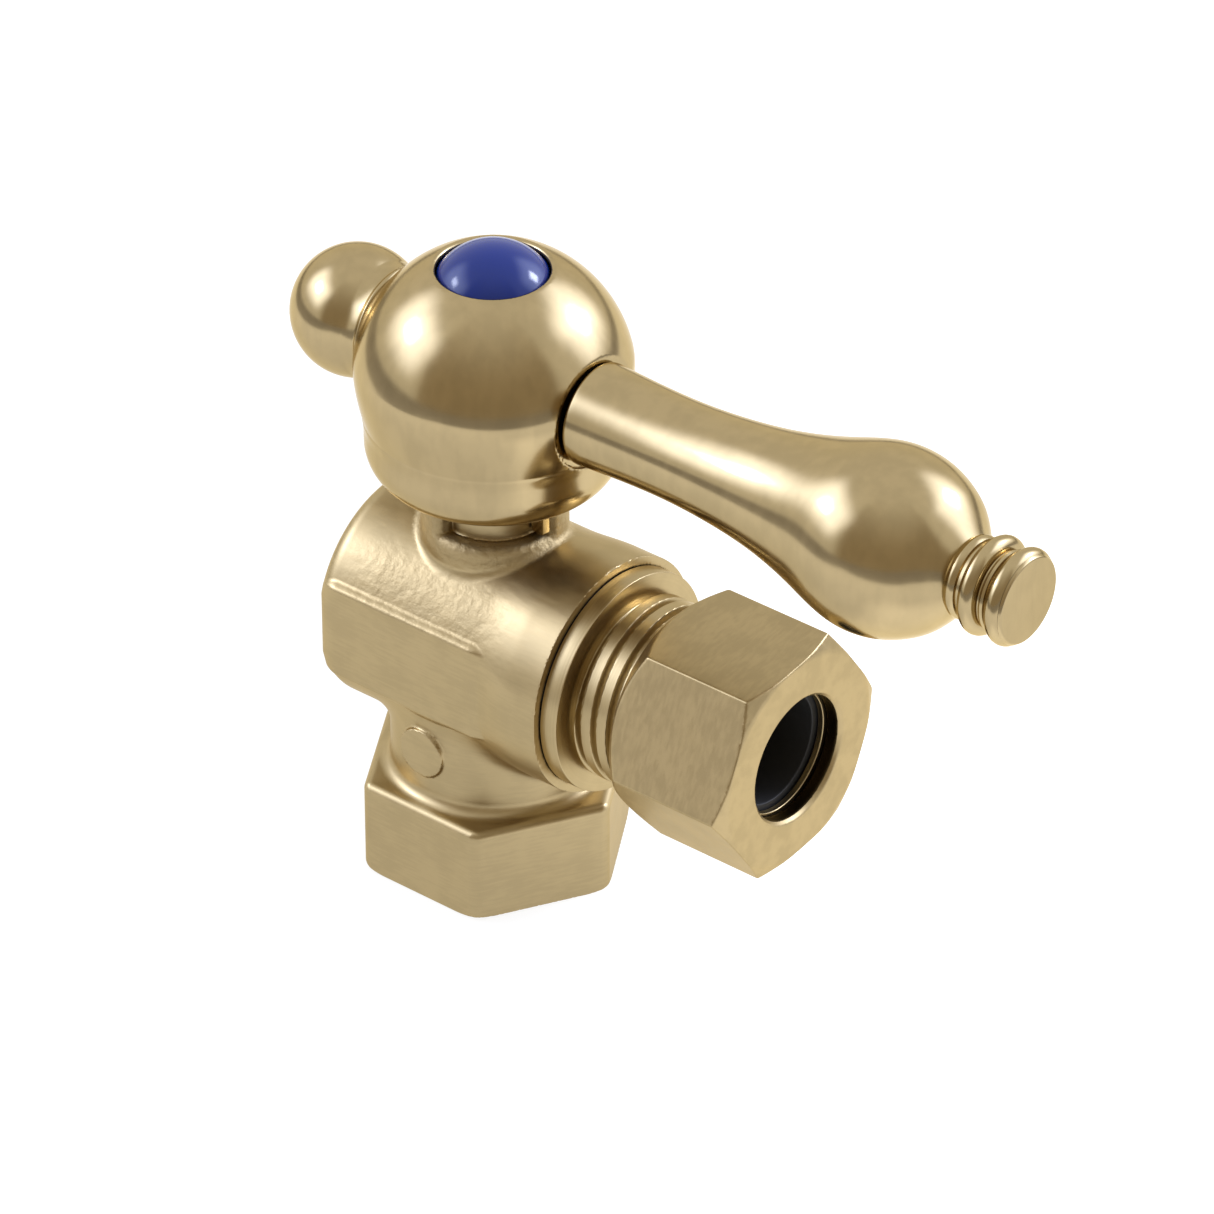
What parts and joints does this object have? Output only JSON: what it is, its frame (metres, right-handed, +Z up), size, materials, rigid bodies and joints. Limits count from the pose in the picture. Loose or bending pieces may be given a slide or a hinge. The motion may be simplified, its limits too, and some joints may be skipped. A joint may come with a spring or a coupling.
{
  "type": "angle stop valve",
  "caption": "Quarter-turn angle stop valve in brass with a hexagonal inlet, a union nut outlet, and a ball hub with a teardrop lever, ball knob and blue button.",
  "frame": {"origin": "the middle of the inlet's end face, where the inlet axis meets it", "axes": "+Z up the inlet and stem axis, +X out of the outlet along its axis, +Y to the left seen from the outlet's front"},
  "size_m": [0.1015, 0.032, 0.0806],
  "materials": {
    "satin_brass": "satin brass, machined and lightly brushed, as forged in places",
    "polished_brass": "polished brass",
    "stainless_steel": "turned stainless steel",
    "black_rubber": "matt black rubber",
    "white_ptfe": "matt white PTFE",
    "blue_plastic": "glossy blue plastic"
  },
  "bodies": {
    "valve": {"valve_body": "satin_brass", "outlet_adapter": "satin_brass", "adapter_gasket": "black_rubber", "outlet_seat": "white_ptfe", "rear_seat": "white_ptfe", "stem_thrust_washer": "white_ptfe"},
    "nut_carrier": {"friction_ring": "satin_brass", "outlet_washer": "black_rubber"},
    "nut": {"outlet_nut": "satin_brass"},
    "handle": {"handle_hub": "polished_brass", "lever": "polished_brass", "ball_knob": "polished_brass", "lever_stud": "stainless_steel", "knob_stud": "stainless_steel", "handle_screw": "stainless_steel", "lock_washer": "stainless_steel", "stem": "satin_brass", "valve_ball": "stainless_steel", "lower_o_ring": "black_rubber", "upper_o_ring": "black_rubber"},
    "button": {"index_button": "blue_plastic"}
  },
  "joints": [
    {"name": "handle_turn", "type": "hinge", "parent": "valve", "child": "handle", "pos_m": [0, 0, 0.0305], "axis": [0, 0, 1], "range_deg": [-90, 0]},
    {"name": "nut_slide", "type": "slide", "parent": "valve", "child": "nut_carrier", "axis": [1, 0, 0], "range_m": [0, 0.0045]},
    {"name": "nut_turn", "type": "hinge", "parent": "nut_carrier", "child": "nut", "pos_m": [0.035, 0, 0.0305], "axis": [1, 0, 0], "range_deg": [0, 720]},
    {"name": "button_pull", "type": "slide", "parent": "handle", "child": "button", "axis": [0, 0, 1], "range_m": [0, 0.008]}
  ],
  "couplings": [
    {"joint": "nut_slide", "follows": "nut_turn", "m_per_rad": 0.00035014}
  ]
}
